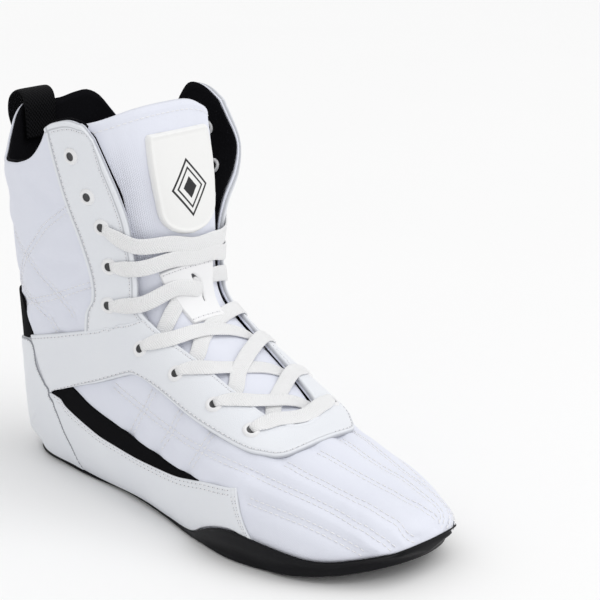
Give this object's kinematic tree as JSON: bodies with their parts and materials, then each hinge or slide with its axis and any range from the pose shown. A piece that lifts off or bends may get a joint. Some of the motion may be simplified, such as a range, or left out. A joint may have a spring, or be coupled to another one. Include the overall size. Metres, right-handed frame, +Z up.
{
  "type": "boxing shoe",
  "caption": "High-top lace-up boxing shoe for the right foot: quilted white fabric upper, leather overlays, padded tongue with a shield badge, heel pull loop and a thin black rubber cup sole.",
  "frame": {"origin": "centre of the bounding box in plan, on the floor", "axes": "+X from the heel to the toe, +Y to the medial side of the right foot, +Z up from the floor"},
  "size_m": [0.3136, 0.1134, 0.2177],
  "materials": {
    "black_rubber": "satin",
    "black_foam": "matte",
    "white_fabric": "matte woven",
    "white_leather": "smooth",
    "black_trim": "matte",
    "white_moulded": "satin",
    "eyelet_ring": "satin",
    "white_lace": "woven",
    "black_webbing": "woven"
  },
  "bodies": {
    "root": {"outsole": "black_rubber", "insole": "black_foam", "upper": "white_fabric", "tongue": "white_fabric", "heel_counter": "white_leather", "heel_strip": "black_trim", "ankle_strap": "white_leather", "foxing_lateral": "white_leather", "foxing_medial": "white_leather", "stripe_lateral": "black_trim", "stripe_medial": "black_trim", "eyestay_lateral": "white_leather", "eyestay_medial": "white_leather", "tongue_keeper": "white_leather", "badge": "white_moulded", "pull_loop": "black_webbing", "lace_bar_3": "white_lace", "lace_bar_4": "white_lace", "lace_bar_9": "white_lace", "lace_cross_5": "white_lace", "lace_cross_6": "white_lace", "lace_cross_7": "white_lace", "lace_cross_8": "white_lace", "eyelet_lateral_1": "eyelet_ring", "eyelet_lateral_2": "eyelet_ring", "eyelet_lateral_3": "eyelet_ring", "eyelet_lateral_4": "eyelet_ring", "eyelet_lateral_5": "eyelet_ring", "eyelet_lateral_6": "eyelet_ring", "eyelet_lateral_7": "eyelet_ring", "eyelet_lateral_8": "eyelet_ring", "eyelet_lateral_9": "eyelet_ring", "eyelet_medial_1": "eyelet_ring", "eyelet_medial_2": "eyelet_ring", "eyelet_medial_3": "eyelet_ring", "eyelet_medial_4": "eyelet_ring", "eyelet_medial_5": "eyelet_ring", "eyelet_medial_6": "eyelet_ring", "eyelet_medial_7": "eyelet_ring", "eyelet_medial_8": "eyelet_ring", "eyelet_medial_9": "eyelet_ring"}
  },
  "joints": []
}
